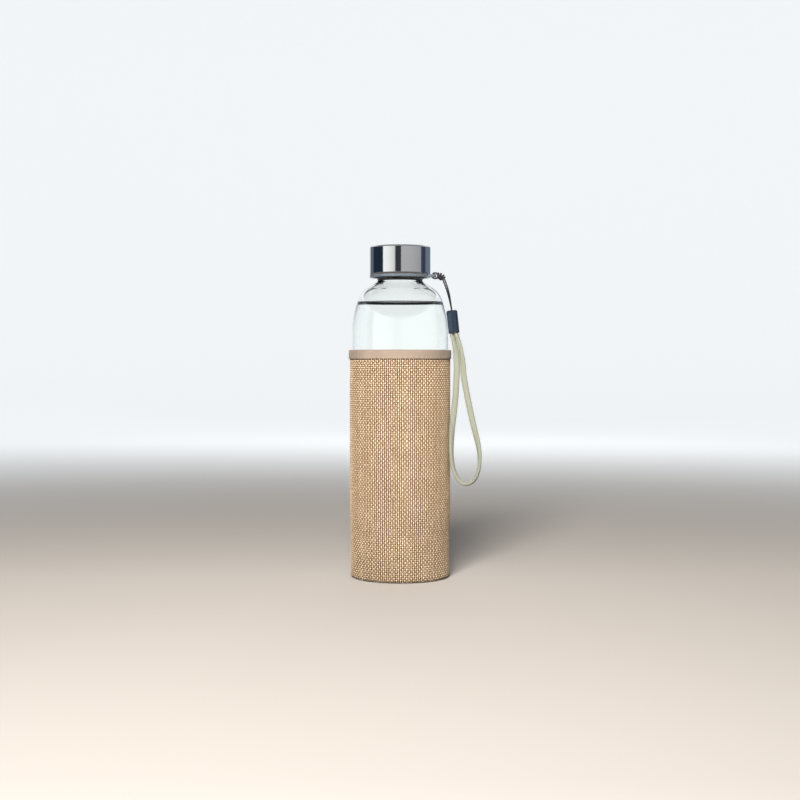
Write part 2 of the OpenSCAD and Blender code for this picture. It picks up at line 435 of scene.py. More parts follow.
def ferrule_look(tree):
    """Slate-coloured satin metal, paler on its sharpest edges."""
    where = object_coords(tree)
    edge_sharpness = add(tree, "NewGeometry").outputs["Pointiness"]
    edge = between(tree, edge_sharpness, 0.0, 1.0, 0.52, 0.6)
    base = mix(tree, noise(tree, where, 260, 4), (0.035, 0.055, 0.085), (0.055, 0.08, 0.12))
    return {
        "Base Color": mix(tree, edge, base, (0.16, 0.18, 0.21)), "Metallic": 0.8,
        "Roughness": between(tree, noise(tree, where, 700, 4), 0.26, 0.4),
        "Normal": bump(tree, noise(tree, scaled(tree, where, (1, 1, 0.2)), 2200, 3), 0.12, 0.00006),
        "Coat Weight": 0.25, "Coat Roughness": 0.2,
    }


def along_coords(tree, across_scale, along_scale):
    """The piece's own coordinates: across the yarn, and along it in millimetres."""
    uv = add(tree, "UVMap", uv_map="along").outputs[0]
    return scaled(tree, uv, (across_scale, along_scale, 1))


def cord_look(tree, dark, light, roughness, fuzz):
    """Fibre cord: lighter where a strand stands out and darker between, as painted highlight and
    painted shade, with fine fibres along it.
    """
    crest = attribute(tree, "crest")
    fibres = noise(tree, along_coords(tree, 26, 1.2), 1.6, 4, 0.6)
    # Painted highlight on the strands' crests and painted shade in the grooves between them, from crest
    shade = weighted(tree, (fibres, 0.25), (crest, 0.85))
    return {
        "Base Color": mix(tree, shade, dark, light),
        "Roughness": between(tree, fibres, roughness - 0.1, roughness + 0.1),
        "Normal": bump(tree, fibres, 0.5, 0.00006),
        "Sheen Weight": fuzz, "Sheen Roughness": 0.5, "Sheen Tint": (*light, 1),
    }


def yarn_look(tree, deep, middle, bright):
    """Jute-look yarn: a painted highlight where it rides over another and painted shade where it dips
    and down its flanks, with its own tint along each stretch and twisted fibres."""
    tint = attribute(tree, "tint")
    crest = attribute(tree, "crest")
    fibres = noise(tree, along_coords(tree, 5, 0.9), 1.4, 4, 0.65)
    blotch = noise(tree, object_coords(tree), 45, 3)
    # crest carries the painted highlight where the yarn is on top and the painted shade where it dips
    # and at its flanks' feet
    value = weighted(tree, (crest, 0.40), (tint, 0.24), (blotch, 0.10), (fibres, 0.26))
    uv = add(tree, "SeparateXYZ", {0: add(tree, "UVMap", uv_map="along").outputs[0]})
    phase = weighted(tree, (uv.outputs[1], 11.0), (uv.outputs[0], 7.0))
    twist = math_node(tree, "MULTIPLY_ADD", math_node(tree, "SINE", phase), 0.25, fibres)
    return {
        "Base Color": ramp(tree, value, [(0.25, deep), (0.52, middle), (0.78, bright)]),
        "Roughness": between(tree, fibres, 0.5, 0.75),
        "Normal": bump(tree, twist, 0.45, 0.0001),
        "Sheen Weight": 0.04, "Sheen Roughness": 0.45, "Sheen Tint": (1.0, 0.9, 0.75, 1),
        "Specular IOR Level": 0.3,
    }


def tape_look(tree):
    """Smooth binding tape with a fine twill and a faint crosswise rib."""
    where = object_coords(tree)
    parts = add(tree, "SeparateXYZ", {0: where})
    angle = math_node(tree, "ARCTAN2", parts.outputs[1], parts.outputs[0])
    phase = weighted(tree, (parts.outputs[2], 9000.0), (angle, 540.0))
    twill = math_node(tree, "MULTIPLY_ADD", math_node(tree, "SINE", phase), 0.5, 0.5)
    cloudy = noise(tree, where, 80, 4, 0.6)
    speck = noise(tree, where, 1500, 2)
    shade = weighted(tree, (cloudy, 0.6), (twill, 0.12), (speck, 0.3))
    return {
        "Base Color": mix(tree, shade, (0.20, 0.155, 0.12), (0.33, 0.26, 0.205)),
        "Roughness": between(tree, cloudy, 0.62, 0.8),
        "Normal": bump(tree, math_node(tree, "MULTIPLY_ADD", twill, 0.4, speck), 0.25, 0.00007),
        "Sheen Weight": 0.2, "Sheen Roughness": 0.4, "Sheen Tint": (1.0, 0.93, 0.85, 1),
    }


def ground_look(tree):
    """The cloth behind its yarns: painted dark as shade where it shows between them, and pale jute on
    the side that faces the Z axis, which shows through the glass."""
    where = object_coords(tree)
    fibres = noise(tree, where, 900, 4, 0.6)
    normal = add(tree, "NewGeometry").outputs["True Normal"]
    flat = add(tree, "VectorMath", {0: where, 1: (1, 1, 0)}, operation="MULTIPLY").outputs[0]
    outward = add(tree, "VectorMath", {0: flat, 1: normal}, operation="DOT_PRODUCT").outputs["Value"]
    inner = math_node(tree, "LESS_THAN", outward, 0.0)
    # Painted shade on the outer side, where the cloth shows in the gaps between the yarns
    shaded = mix(tree, fibres, (0.20, 0.135, 0.08), (0.34, 0.24, 0.15))
    jute = mix(tree, fibres, (0.36, 0.26, 0.16), (0.60, 0.46, 0.30))
    return {
        "Base Color": mix(tree, inner, shaded, jute), "Roughness": 0.9,
        "Normal": bump(tree, fibres, 0.5, 0.0001),
    }


GLASS = painted(glass_look, "clear_glass")
WATER = painted(water_look, "water")
STEEL = painted(steel_look, "polished_steel")
LINER = painted(liner_look, "smoky_plastic")
SILICONE = painted(silicone_look, "silicone")
SLATE = painted(ferrule_look, "slate_metal")
# Each cord's first colour shows between its strands and its second on their crests: the black cord's
# second is a painted highlight, the cream braid's first is painted shade
BLACK = painted(cord_look, "black_cord", (0.002, 0.002, 0.003), (0.06, 0.06, 0.067), 0.55, 0.0)
CREAM = painted(cord_look, "cream_braid", (0.03, 0.035, 0.025), (0.47, 0.48, 0.385), 0.7, 0.05)
# Each yarn's first colour is painted shade for its dips and flanks and its last a painted highlight for
# its crests, with its own colour between. The wefts' colours are darker than the warps': partly their
# own tint, partly painted shade, as they lie deeper.
WARP = painted(yarn_look, "warp_yarn", (0.15, 0.092, 0.05), (0.60, 0.44, 0.28), (0.96, 0.81, 0.63))
WEFT = painted(yarn_look, "weft_yarn", (0.10, 0.06, 0.032), (0.32, 0.22, 0.13), (0.58, 0.44, 0.30))
GROUND = painted(ground_look, "cloth_ground")
TAPE = painted(tape_look, "binding_tape")
THREAD = painted(cord_look, "sewing_thread", (0.30, 0.22, 0.15), (0.55, 0.43, 0.31), 0.6, 0.2)

# ---- strap: the two cords and the ferrule

CORD_D, STRAP_W, STRAP_T = 1.0, 4.2, 2.6
PLY_TWIST, PLY_RELIEF = 1.5, 0.12
FERRULE_TOP = np.array([36.2, 0, 177.7])
FERRULE_TILT = math.radians(6.5)
FERRULE_L, FERRULE_R, FERRULE_WALL = 15, 3.65, 0.55
# The doubled thin cord, from inside the ferrule up to the knot: x, z
CORD_ROUTE = [(36.4, 176.2), (36.1, 178.5), (35.4, 182.5), (34.4, 187.2), (33.2, 191.5),
              (31.8, 195.3), (30.6, 198.4)]
KNOT_ROUTE = [(30, 199.6), (28.8, 200.5), (27.4, 200.9)]
# Its two strands lie this far apart, and twist by the first number of turns and by the second more
STRAND_GAP, STRAND_TURNS = 1.2, (0.02, 0.26)
# The wraps of the knot, along its own middle line: x, z
COIL_ROUTE = [(26.3, 200.8), (27.7, 200.6), (29.1, 199.9), (30.4, 198.5)]
COIL_TURNS, COIL_R, COIL_START = 3.6, 1.9, math.radians(-60)
# The turns round the lug's bar are oval: how many, their middle, and their half sizes
BAR_TURNS, BAR_MIDDLE, BAR_LOOP = 2.65, (24.72, 200.74), (1.93, 1.87)
# The angle that they start at, and how far the first and last are from the middle of the bar
BAR_START, BAR_SPREAD = math.radians(70), 0.97
PATH_STEP = 0.2
# The braided loop, down its inner side and up its outer side: x, z, and how far its wide
# face is turned to the front, in degrees
LOOP_ROUTE = [
    (35.4, 171.6, 0), (36.4, 162.6, 0), (38.1, 156.5, 18), (39.2, 150, 42), (39.8, 142, 72),
    (39.6, 133, 88), (39, 122, 90), (37.9, 111, 72), (36.8, 101, 38), (36.2, 91, 12),
    (36.2, 82.5, 0), (37.2, 74.5, 0), (39.8, 68, 0), (43.8, 64, 0), (48.4, 63.8, 0),
    (52.4, 67, 4), (54.9, 73, 12), (55.6, 81, 30), (54.7, 89, 52), (52.7, 97, 72),
    (49.5, 110, 88), (46.9, 122, 90), (44.8, 133, 84), (44, 142, 68), (43, 150, 42),
    (41.6, 156.5, 18), (39.4, 163, 0), (38.4, 171.9, 0),
]


def braid_section(along):
    """A flat braid: a rounded oblong, covered in the lozenges of strands that pass over and under.
    It has lanes of them round it, one for each rib millimetres along it, and they are depth deep."""
    sides, lanes, rib, depth = 54, 9, 1.45, 0.3
    angle = circle(sides)
    shape = 2.0 / 2.6
    across = np.sign(np.cos(angle)) * np.abs(np.cos(angle)) ** shape
    rise = np.sign(np.sin(angle)) * np.abs(np.sin(angle)) ** shape
    ring = np.stack([across * STRAP_W / 2, rise * STRAP_T / 2], axis=1)
    step = np.linalg.norm(np.diff(ring, axis=0, append=ring[:1]), axis=1)
    share = np.concatenate([[0], np.cumsum(step)[:-1]]) / step.sum()
    wave = math.pi * (share[None, :] * lanes)
    run = math.pi * along[:, None] / rib
    # crest shapes the lozenges and also gives the painted shade between them in cord_look
    crest = np.abs(np.cos(wave + run) * np.cos(wave - run)) ** 0.8
    sink = depth * (crest - 0.85)
    return (across * (STRAP_W / 2 + sink), rise * (STRAP_T / 2 + sink), crest)


def turned_frames(path, degrees):
    """Side and up vectors of a flat strap that turns about its own line."""
    y, normal = plane_frames(path)
    turn = np.radians(degrees)[:, None]
    side = y * np.cos(turn) + normal * np.sin(turn)
    return side, np.cross(side, directions(path))


def make_wrist_strap():
    route = smooth_path([(x, 0, z, turn) for x, z, turn in LOOP_ROUTE], PATH_STEP)
    path = route[:, :3]
    side, up = turned_frames(path, route[:, 3])
    piece = sweep("wrist_strap_braid", path, side, up, braid_section, CREAM)
    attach(piece, "strap")
    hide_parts("wrist_strap")
    return piece, path


def ply_section(along):
    """A round cord of three twisted plies, with a painted highlight on their crests that is strongest
    near the knot, away from both its ends.
    """
    angle = circle(12)
    lobe = np.cos(3 * (angle[None, :] - along[:, None] * PLY_TWIST))
    r = CORD_D / 2 * 0.95 * (1 + PLY_RELIEF * lobe)
    # Painted highlight: the plies' crests are lit near the knot and fade nearly to nothing towards both
    # ends
    highlit_share = np.clip((np.minimum(along, along[-1] - along) - 11) / 8, 0.06, 1)[:, None]
    return r * np.cos(angle), r * np.sin(angle), (lobe + 1) / 2 * highlit_share


def in_plane(route, step):
    """A smooth path through (x, z) points in the plane y = 0."""
    return smooth_path([(x, 0, z) for x, z in route], step)


def wound(path, radius, turn):
    """Offsets from a path in the plane y = 0, at a radius and an angle in radians for each point."""
    y, normal = plane_frames(path)
    return radius * (y * np.cos(turn)[:, None] + normal * np.sin(turn)[:, None])


def bar_turns():
    """The turns round the lug's bar, side by side."""
    share = np.linspace(0, 1, 90)
    angle = BAR_START + TURN * BAR_TURNS * share
    return np.stack([BAR_MIDDLE[0] + BAR_LOOP[0] * np.cos(angle), BAR_SPREAD * (1 - 2 * share),
                     BAR_MIDDLE[1] + BAR_LOOP[1] * np.sin(angle)], axis=1)


def coil_wraps():
    """The knot's wraps, a little smaller at both its ends."""
    share = np.linspace(0, 1, 96)
    axis = in_plane(COIL_ROUTE, 0.02)
    axis = axis[(share * (len(axis) - 1)).astype(int)]
    radius = COIL_R * (0.86 + 0.14 * np.sin(math.pi * share))[:, None]
    return axis + wound(axis, radius, COIL_START + TURN * COIL_TURNS * share)


def knot_line():
    """One strand: up from the ferrule, through the knot, round the lug's bar, then wrapped
    back over itself and down again."""
    route = in_plane(CORD_ROUTE, 0.3)
    turns = STRAND_TURNS[0] + STRAND_TURNS[1] * np.linspace(0, 1, len(route))
    offset = wound(route, STRAND_GAP / 2, TURN * turns)
    joined = np.vstack([(route + offset)[:-2], in_plane(KNOT_ROUTE, 0.3), bar_turns()[::2],
                        coil_wraps()[::2], (route - offset)[::-1][3:]])
    return smooth_path(joined, PATH_STEP)


def make_thin_cord():
    path = knot_line()
    side, up = carried_frames(path)
    piece = sweep("strap_cord_twisted", path, side, up, ply_section, BLACK)
    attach(piece, "strap")
    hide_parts("strap_cord")
    return piece, path


def make_ferrule():
    """A short tube with a soft top edge, closed by a cap with a hole for the thin cord."""
    bore_r, hole_r, cap, soft = FERRULE_R - FERRULE_WALL, 1.4, 2, 1.1
    rest = rounded([(FERRULE_R, -3), (FERRULE_R, -FERRULE_L), (bore_r, -FERRULE_L), (bore_r, -cap),
                    (hole_r, -cap), (hole_r, -0.2), (hole_r + 0.2, 0)], 0.3, 4)[5:]
    outline = arc(FERRULE_R - soft, -soft, soft, 90, 0, 8) + rest
    piece = lathe("ferrule_sleeve", outline, SLATE, 64, ring=True)
    piece.data.transform(Matrix.Rotation(-FERRULE_TILT, 4, "Y"))
    piece.data.transform(Matrix.Translation(FERRULE_TOP * MM))
    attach(piece, "strap")
    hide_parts("ferrule")
    return piece


ferrule = make_ferrule()
strap, strap_path = make_wrist_strap()
thin_cord, cord_path = make_thin_cord()

# ---- glass and water

LONG_R, LONG_ANGLE, TIGHT_R, TIGHT_ANGLE = 80, 18, 15, 57
GROOVE_R, FINISH_R, FINISH_H, RIM_ROUND = 1.4, 16.4, 19.2, 1.0
WALL, GLASS_BASE, PUNT, HEEL_R, MOUTH_R, NECK_FILLET = 1.8, 4, 3, 5, 12.6, 2.5
# The water's level, how strongly it climbs at the glass, and how far it reaches into the glass
WATER_Z, CAPILLARY, WET_ANGLE, OVERLAP = 179.6, 3.1, 75, 0.05
PITCH, TURNS, THREAD_DEPTH = 4.2, 1.5, 1.2
# Half a screw ridge's width, at its foot and at its crest
RIDGE_FOOT, RIDGE_CREST = 0.95, 0.42
# How far below the rim the glass's ridge and the insert's ridge end
GLASS_RIDGE_DROP, LID_RIDGE_DROP = 4, 5.6


def dome(r, z, steps=12):
    """A shallow dome from (0, z + PUNT) out to (r, z)."""
    big = (r * r + PUNT * PUNT) / (2 * PUNT)
    return arc(0, z + PUNT - big, big, 90, 90 - math.degrees(math.asin(r / big)), steps)


GROOVE_Z = RIM_Z - FINISH_H
TIGHT_X = BODY_R - LONG_R + (LONG_R - TIGHT_R) * math.cos(math.radians(LONG_ANGLE))
TAN, SIN, COS = (f(math.radians(TIGHT_ANGLE)) for f in (math.tan, math.sin, math.cos))
CONE_RISE = (TIGHT_X + TIGHT_R * COS - FINISH_R + GROOVE_R * COS) / TAN
TIGHT_Z = GROOVE_Z - (GROOVE_R + TIGHT_R) * SIN - CONE_RISE
SHOULDER_Z = TIGHT_Z - (LONG_R - TIGHT_R) * math.sin(math.radians(LONG_ANGLE))


def shoulder(inset):
    """The shoulder's outline, from the body up to the cone below the neck."""
    return (arc(BODY_R - LONG_R, SHOULDER_Z, LONG_R - inset, 0, LONG_ANGLE, 24)
            + arc(TIGHT_X, TIGHT_Z, TIGHT_R - inset, LONG_ANGLE, TIGHT_ANGLE, 20)[1:])


def inner_wall():
    """The glass's inside, from the floor's middle up to the shoulder's cone."""
    fillet = HEEL_R + 1
    floor_r = BODY_R - WALL - fillet
    floor_z = GLASS_Z + GLASS_BASE
    return (dome(floor_r, floor_z) + arc(floor_r, floor_z + fillet, fillet, 280, 360, 10)
            + line((BODY_R - WALL, floor_z + fillet), (BODY_R - WALL, SHOULDER_Z), 12)[:-1]
            + shoulder(WALL))


def thread_height(z, angle, top_z):
    """How far a screw ridge stands out at each height and angle, from 0 to 1."""
    height = np.zeros(np.broadcast(z, angle).shape)
    for turn in range(2):
        gone = angle / TURN + turn
        off = np.abs(z - (top_z - PITCH * (TURNS - gone)))
        shape = np.clip((RIDGE_FOOT - off) / (RIDGE_FOOT - RIDGE_CREST), 0, 1)
        fade = np.clip(np.minimum(gone, TURNS - gone) * 6, 0, 1)
        height = np.maximum(height, shape * shape * (3 - 2 * shape) * fade)
    return height


def glass_outline():
    standing = BODY_R - HEEL_R
    bore_end = inner_wall()[-1]
    bore_z = bore_end[1] + (bore_end[0] - MOUTH_R) / TAN
    fillet_z = bore_z + NECK_FILLET * math.tan(math.radians(TIGHT_ANGLE / 2))
    finish_z = GROOVE_Z + GROOVE_R
    return (dome(standing - 2, GLASS_Z) + arc(standing, GLASS_Z + HEEL_R, HEEL_R, 270, 360, 12)
            + line((BODY_R, GLASS_Z + HEEL_R), (BODY_R, SHOULDER_Z), 12)[:-1]
            + shoulder(0) + arc(FINISH_R, GROOVE_Z, GROOVE_R, 180 + TIGHT_ANGLE, 90, 16)
            + line((FINISH_R, finish_z), (FINISH_R, RIM_Z - RIM_ROUND), 80)[:-1]
            + arc(FINISH_R - RIM_ROUND, RIM_Z - RIM_ROUND, RIM_ROUND, 0, 90, 6)
            + arc(MOUTH_R + RIM_ROUND, RIM_Z - RIM_ROUND, RIM_ROUND, 90, 180, 6)
            + arc(MOUTH_R + NECK_FILLET, fillet_z, NECK_FILLET, 180, 180 + TIGHT_ANGLE, 8)
            + inner_wall()[::-1])


def glass_push(r, z, angle):
    """The screw ridge on the outside of the finish."""
    outside = (r > FINISH_R - 0.01) & (r < FINISH_R + 0.01) & (z > GROOVE_Z + GROOVE_R)
    return outside * THREAD_DEPTH * thread_height(z, angle, RIM_Z - GLASS_RIDGE_DROP)


def make_glass():
    piece = lathe("glass_body", glass_outline(), GLASS, 160, glass_push)
    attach(piece, "bottle")
    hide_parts("glass_bottle")


def meniscus():
    """How the water climbs at the glass: (distance in from the wall, rise) from the wall inwards."""
    slope = np.radians(np.linspace(WET_ANGLE, 1.5, 40))
    rise = 2 * CAPILLARY * np.sin(slope / 2)
    run = -np.diff(rise) / np.tan((slope[1:] + slope[:-1]) / 2)
    return np.concatenate([[0], np.cumsum(run)]), rise


def make_water():
    """The water meets the glass with a hair's overlap, and climbs it a little at its edge."""
    distance, rise = meniscus()
    top = WATER_Z + rise[0]
    below = [p for p in inner_wall() if p[1] < top]
    above = [p for p in inner_wall() if p[1] >= top][0]
    share = (top - below[-1][1]) / (above[1] - below[-1][1])
    edge_r = below[-1][0] + (above[0] - below[-1][0]) * share
    wet = [(r + OVERLAP if r > 1 else r, z - OVERLAP if z < GLASS_Z + 12 else z) for r, z in below]
    surface = [(edge_r + OVERLAP - d, WATER_Z + h) for d, h in zip(distance, rise)]
    last_r = surface[-1][0]
    surface += [(last_r * t, WATER_Z + rise[-1] * t * t) for t in np.linspace(1, 0, 9)[1:]]
    piece = lathe("water_inside", wet + surface, WATER, 144)
    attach(piece, "bottle")


make_glass()
make_water()

# ---- lid

SHELL_T, SHELL_EDGE = 0.5, 1.2
FLANGE_T = SHELL_Z - FLANGE_Z - 0.05
LINER_R, CAVITY_R = LID_R - SHELL_T - 0.05, LID_R - SHELL_T - 1.65
LUG_X, LUG_R, LUG_HOLE_R = 22.7, 2.6, 1.5


def make_shell():
    """A thin cup with a rounded edge."""
    edge, inner = SHELL_EDGE, SHELL_EDGE - SHELL_T
    under, inside_r = LID_TOP - SHELL_T, LID_R - SHELL_T
    outline = ([(inside_r, SHELL_Z + 0.1), (inside_r + 0.12, SHELL_Z),
                (LID_R - 0.12, SHELL_Z), (LID_R, SHELL_Z + 0.12)]
               + line((LID_R, SHELL_Z + 0.12), (LID_R, LID_TOP - edge - 0.05), 10)
               + arc(LID_R - edge, LID_TOP - edge, edge, 0, 90, 14)
               + line((LID_R - edge - 0.1, LID_TOP), (0, LID_TOP), 10)
               + [(0, under)] + line((0, under), (inside_r - inner - 0.1, under), 6)[:-1]
               + arc(inside_r - inner, under - inner, inner, 90, 0, 6))
    piece = lathe("lid_shell_steel", outline, STEEL, 192, ring=True)
    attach(piece, "lid")
    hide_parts("lid_shell")


def liner_push(r, z, angle):
    """The screw ridge inside the insert."""
    inside = (np.abs(r - CAVITY_R) < 0.01) & (z > FLANGE_Z + 1)
    depth = CAVITY_R - FINISH_R - 0.55
    return inside * -depth * thread_height(z, angle, RIM_Z - LID_RIDGE_DROP)


def make_lug():
    """The strap's lug: a flat eye that grows out of the flange."""
    steps, rows = 40, rounded([(0, 0), (1, 0), (1, 1), (0, 1)], 0.16, 3)
    angle = circle(steps)
    out_r = np.full(steps, LUG_R)
    root = np.cos(angle) < 0
    out_r[root] = np.minimum(LUG_R / np.maximum(np.abs(np.sin(angle[root])), 0.6), 3.6)
    points = []
    for across, up in rows:
        r = LUG_HOLE_R + (out_r - LUG_HOLE_R) * across
        points.append(polar(r, angle, FLANGE_Z + FLANGE_T * up) + [LUG_X, 0, 0])
    faces = grid_faces(len(rows), steps, True, True)
    piece = mesh_piece("lid_lug", np.concatenate(points), faces, LINER)
    weld(piece)
    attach(piece, "lid")


def make_liner():
    """The plastic insert: a flange, a wall with the screw ridge inside it, and a roof."""
    roof_z, flange_top = GASKET_HIGH[2] + 0.1, FLANGE_Z + FLANGE_T
    outline = (rounded([(CAVITY_R, FLANGE_Z), (LID_R, FLANGE_Z), (LID_R, flange_top),
                        (LINER_R, flange_top)], 0.3, 4)[2:-3]
               + line((LINER_R, flange_top), (LINER_R, LINER_TOP - 1), 6)
               + [(LINER_R - 1, LINER_TOP), (0, LINER_TOP), (0, roof_z), (CAVITY_R - 0.4, roof_z)]
               + line((CAVITY_R, roof_z - 0.4), (CAVITY_R, FLANGE_Z + 0.3), 80))
    piece = lathe("lid_liner_plastic", outline, LINER, 160, liner_push, ring=True)
    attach(piece, "lid")
    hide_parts("lid_liner")


def make_gasket():
    low, high = GASKET_LOW[2], GASKET_HIGH[2]
    out_r, in_r = GASKET_HIGH[0], MOUTH_R - 1.1
    bead = [(MOUTH_R + 3.4, low), (MOUTH_R + 3.0, low + 0.25), (MOUTH_R + 1.2, low + 0.25),
            (MOUTH_R + 0.8, low)]
    outline = rounded([(in_r, low), (in_r, high), (out_r, high), (out_r, low)] + bead, 0.2, 3)
    piece = lathe("lid_gasket_ring", outline, SILICONE, 96, ring=True)
    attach(piece, "seal")
    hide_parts("lid_gasket")


make_shell()
make_liner()
make_lug()
make_gasket()

# ---- sleeve

# The yarns' spacing, and how far apart the points along them are
WEAVE = 1.44
STEP = WEAVE / 2
# A yarn's thickness and width, how far it swings in and out, how much deeper the wefts lie, how
# much of a yarn is above its line, and how far the crests stay inside the sleeve's outer face
YARN_T, YARN_W, SWING, WEFT_SINK, YARN_TOP, MARGIN = 0.62, 1.14, 0.3, 0.14, 0.42, 0.04
# How much darker a yarn is painted at the foot of its flanks: painted shade where it turns down into
# the gaps
FLANK_SHADE = 1.15
WARPS = 2 * round(math.pi * CLOTH_R / WEAVE)
FOOT_R, FOOT_H, TAPER_TOP, HEM_R, SEAM_W = CLOTH_R - 0.5, 30, 42, 2.5, 1.2
SLIT_W, SEAM_ANGLE = 0.8, math.pi / 2
# The thickness of the cloth behind the yarns, and how far it is behind the deepest of them
GROUND_T, GROUND_GAP = 0.45, 0.12


def cloth_outline():
    """The sleeve's outer face, from the seam with the bottom panel up under the tape."""
    under = [(PANEL_R + SEAM_W, 0), (PANEL_R + SEAM_W + 0.5, 0)]
    corner = arc(FOOT_R - HEM_R, HEM_R, HEM_R, 270, 360, 12)
    wall = (line((FOOT_R, HEM_R), (FOOT_R, FOOT_H), 8) + line((FOOT_R, FOOT_H), (CLOTH_R, TAPER_TOP), 6)
            + line((CLOTH_R, TAPER_TOP), (CLOTH_R, TAPE_Z + 1.5), 12))
    return under + corner + wall


CLOTH = np.array(cloth_outline())
CLOTH_S = lengths_along(CLOTH)
CLOTH_LENGTH = CLOTH_S[-1]
ROWS = int(CLOTH_LENGTH / WEAVE)


def on_cloth(angle, s, h):
    """Points on the sleeve: angle round it, s along its outline, h above its outer face."""
    r, z = (np.interp(s, CLOTH_S, CLOTH[:, k]) for k in (0, 1))
    slope = directions(CLOTH)
    out_r, out_z = np.interp(s, CLOTH_S, slope[:, 1]), np.interp(s, CLOTH_S, -slope[:, 0])
    r, z = r + h * out_r, z + h * out_z
    return polar(r, angle, z)


def wander(count, steps, scale, amount):
    """A smooth random line for each yarn, worth about amount either way."""
    t = np.arange(steps) * STEP
    total = np.zeros((count, steps))
    for octave in range(3):
        phase = rng.uniform(0, TURN, (count, 1))
        wave = scale / (1.7 ** octave) * rng.uniform(0.8, 1.25, (count, 1))
        total += np.sin(TURN * t / wave + phase) / (1.4 ** octave)
    return total * amount / 1.6


def slubs(count, steps):
    """Thick places in the yarns, each a few millimetres long. A yarn has half of one on average."""
    t = np.arange(steps)[None, :] * STEP
    total = np.zeros((count, steps))
    for _ in range(3):
        centre = rng.uniform(0, steps * STEP, (count, 1))
        size = rng.uniform(2, 6, (count, 1))
        share = (rng.random((count, 1)) < 0.5 / 3) * rng.uniform(0.15, 0.4, (count, 1))
        total += share * np.exp(-((t - centre) / size) ** 2)
    return total


def yarn_mesh(name, place, lines, material):
    """Yarns as closed tubes of four sides. lines holds what yarn_lines gives, each (yarns, steps);
    place(across, height) gives points."""
    count, steps = lines["height"].shape
    corners = ((-0.5, -0.3), (-0.27, YARN_TOP), (0.27, YARN_TOP), (0.5, -0.3))
    points = np.stack([place(lines["width"] * a, lines["height"] + lines["thick"] * b)
                       for a, b in corners], axis=2)
    faces = []
    for start in range(0, count * steps * 4, steps * 4):
        faces += tube_faces(steps, 4, start)
    across = np.arange(count)[:, None, None] * 3.7 + np.array([0.0, 0.27, 0.73, 1.0])
    along = (np.arange(steps) * STEP)[None, :, None]
    # Painted shade: the two bottom corners of each yarn's section, at the foot of its flanks, get a
    # lower colour value
    painted_shade_corners = np.array([1.0, 0.0, 0.0, 1.0])
    crest = lines["crest"][:, :, None] - FLANK_SHADE * painted_shade_corners
    u, v, tint = (np.broadcast_to(a, crest.shape) for a in (across, along, lines["tint"][:, :, None]))
    return mesh_piece(name, points.reshape(-1, 3), faces, material,
                      uv=np.stack([u, v], axis=-1).reshape(-1, 2), tint=tint.ravel(),
                      crest=crest.ravel())


def yarn_halves(names, place, lines, material):
    """One set of the sleeve's yarns, made as two pieces. place(rows, across, height) gives points."""
    half = len(lines["height"]) // 2
    for name, rows in zip(names, (slice(0, half), slice(half, None))):
        part = {k: v[rows] for k, v in lines.items()}
        piece = yarn_mesh(name, partial(place, rows), part, material)
        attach(piece, "sleeve")


def yarn_height(swing, drift):
    """How high a yarn's line is above the cloth's outer face. swing is 1 over and -1 under."""
    return -YARN_T * YARN_TOP - SWING + SWING * swing + drift - MARGIN


def yarn_lines(count, steps, height, swing, width_scale=1.0):
    """Each yarn's height, width, thickness, tint, and how far it is on top, along its length."""
    width = YARN_W * width_scale * (1 + rng.normal(0, 0.035, (count, 1))
                                    + wander(count, steps, 9, 0.06) + slubs(count, steps))
    tint = np.clip(0.5 + rng.normal(0, 0.07, (count, 1)) + wander(count, steps, 24, 0.12), 0, 1)
    width = width * (0.9 + 0.1 * swing)
    return {"height": height, "width": np.clip(width, 0.75, WEAVE * 1.08),
            "thick": YARN_T * (0.9 + 0.2 * width / YARN_W), "tint": tint,
            "crest": np.broadcast_to(np.clip(swing, 0, 1), height.shape)}


def sleeve_warps():
    """Yarns up the sleeve, over and under the rows. They crowd together where it narrows."""
    steps = 2 * ROWS + 1
    s = np.linspace(0.15, CLOTH_LENGTH, steps)
    yarn = np.arange(WARPS)[:, None]
    swing = np.cos(math.pi * (s[None, :] / WEAVE - 0.5 + yarn))
    height = yarn_height(swing, wander(WARPS, steps, 25, 0.04))
    lines = yarn_lines(WARPS, steps, height, swing)
    shift = wander(WARPS, steps, 35, 0.09)
    centre = SEAM_ANGLE + TURN * (yarn + 0.5) / WARPS
    r = np.interp(s, CLOTH_S, CLOTH[:, 0])
    lines["width"] = lines["width"] * np.clip(r / CLOTH_R, 0.8, 1)

    def place(rows, across, up):
        angle = centre[rows] + (across + shift[rows]) / r
        return on_cloth(angle, np.broadcast_to(s, angle.shape), up)

    yarn_halves(("sleeve_warp_left", "sleeve_warp_right"), place, lines, WARP)


def sleeve_wefts():
    """Yarns round the sleeve, from one side of the back seam to the other."""
    steps = 2 * WARPS + 1
    gap = SLIT_W / 2 / CLOTH_R
    angle = np.linspace(gap, TURN - gap, steps)
    row = np.arange(ROWS)[:, None]
    across_warps = angle[None, :] / TURN * WARPS - 0.5
    swing = -np.cos(math.pi * (across_warps + row))
    height = yarn_height(swing, wander(ROWS, steps, 30, 0.04)) - WEFT_SINK
    lines = yarn_lines(ROWS, steps, height, swing, 1.04)
    shift = wander(ROWS, steps, 60, 0.1)
    middle = (row + 0.5) * WEAVE

    def place(rows, across, up):
        s = middle[rows] + shift[rows] + across
        return on_cloth(np.broadcast_to(SEAM_ANGLE + angle, s.shape), s, up)

    yarn_halves(("sleeve_weft_lower", "sleeve_weft_upper"), place, lines, WEFT)


